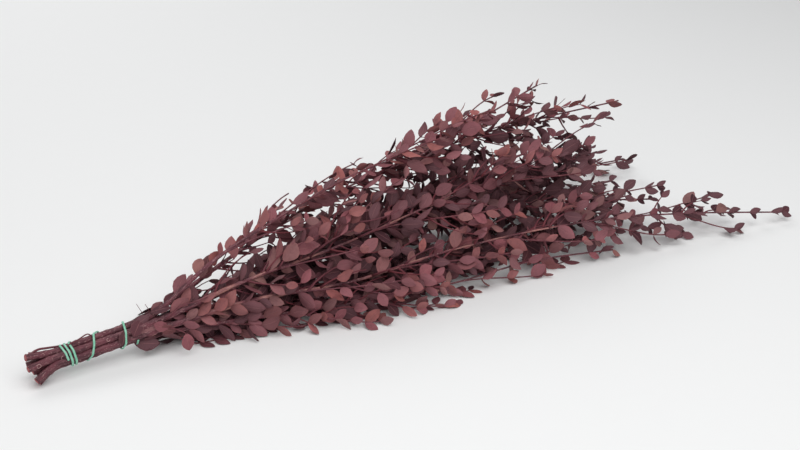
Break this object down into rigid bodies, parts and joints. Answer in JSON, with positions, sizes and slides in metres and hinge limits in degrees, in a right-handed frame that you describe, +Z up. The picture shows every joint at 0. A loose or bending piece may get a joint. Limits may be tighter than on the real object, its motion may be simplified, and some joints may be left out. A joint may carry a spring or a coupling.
{
  "type": "bunch of dried eucalyptus",
  "caption": "Bunch of dyed, dried small-leaved eucalyptus lying on its side, its leafy stems held near the cut ends by a wound elastic strand.",
  "frame": {"origin": "on the surface that the bunch lies on, below the middle of its bounding box", "axes": "+X along the bunch from the cut ends towards the leafy tips, +Y across it, away from the side that the picture shows, +Z up from the surface"},
  "size_m": [0.7569, 0.2224, 0.1517],
  "materials": {
    "dyed_foliage": "matte, burgundy dyed leaves and bark",
    "green_band": "smooth, slight sheen"
  },
  "bodies": {
    "root": {"stem_1_crest": "dyed_foliage", "stem_2_flank": "dyed_foliage", "stem_3_long": "dyed_foliage", "stem_4_front": "dyed_foliage", "stem_5_under": "dyed_foliage", "stem_6_back": "dyed_foliage", "stem_7_peak": "dyed_foliage", "stem_8_heart": "dyed_foliage", "tie_strand": "green_band"}
  },
  "joints": []
}
